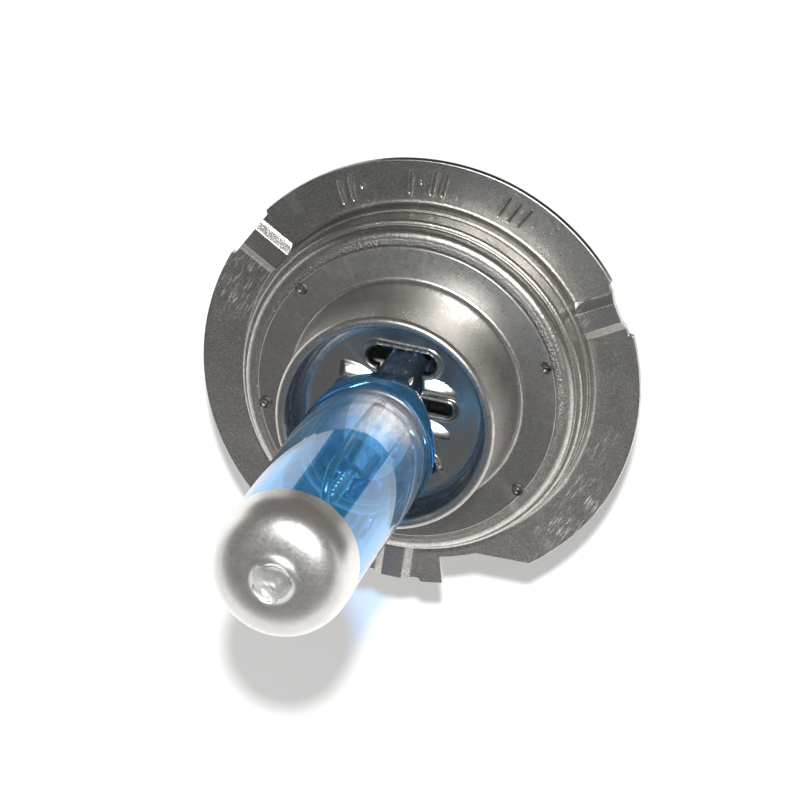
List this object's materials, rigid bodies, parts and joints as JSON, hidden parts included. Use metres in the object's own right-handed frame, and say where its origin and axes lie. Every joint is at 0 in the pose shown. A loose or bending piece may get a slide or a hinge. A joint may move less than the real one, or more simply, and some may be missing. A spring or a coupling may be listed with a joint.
{
  "type": "halogen headlamp bulb",
  "caption": "Halogen headlamp bulb with a keyed flange and locating collar, blue-tinted quartz tube with silvered dome, axial filament, and flat terminal blades.",
  "frame": {"origin": "on the bulb axis at the reference plane, which is the tops of the three raised bosses of the flange", "axes": "+Z along the bulb axis towards the glass tip; -Y towards the boss beside the keyed recess"},
  "size_m": [0.033, 0.0329, 0.06],
  "materials": {
    "stamped_steel": "satin nickel-plated stamping, fine grain, light scuffs",
    "sleeve_steel": "satin drawn steel",
    "weld_steel": "dull laser-melted steel",
    "spring_steel": "bright rolled spring steel",
    "blue_glass": "clear quartz with a blue filter film",
    "clear_glass": "clear fused quartz",
    "silver_coating": "satin silver",
    "tungsten": "drawn tungsten wire",
    "molybdenum": "drawn molybdenum",
    "ceramic": "unglazed steatite",
    "blade_metal": "nickel-plated brass"
  },
  "bodies": {
    "root": {"flange_ring": "stamped_steel", "base_sleeve": "sleeve_steel", "weld_spot_1": "weld_steel", "weld_spot_2": "weld_steel", "weld_spot_3": "weld_steel", "weld_spot_4": "weld_steel", "rear_can": "sleeve_steel", "clamp_plate": "spring_steel", "glass_envelope": "blue_glass", "tip_coating": "silver_coating", "exhaust_tip": "clear_glass", "filament": "tungsten", "short_lead": "molybdenum", "long_lead": "molybdenum", "foil_left": "molybdenum", "foil_right": "molybdenum", "outer_lead_left": "molybdenum", "outer_lead_right": "molybdenum", "insulator": "ceramic", "terminal_blade_left": "blade_metal", "terminal_blade_right": "blade_metal"}
  },
  "joints": []
}
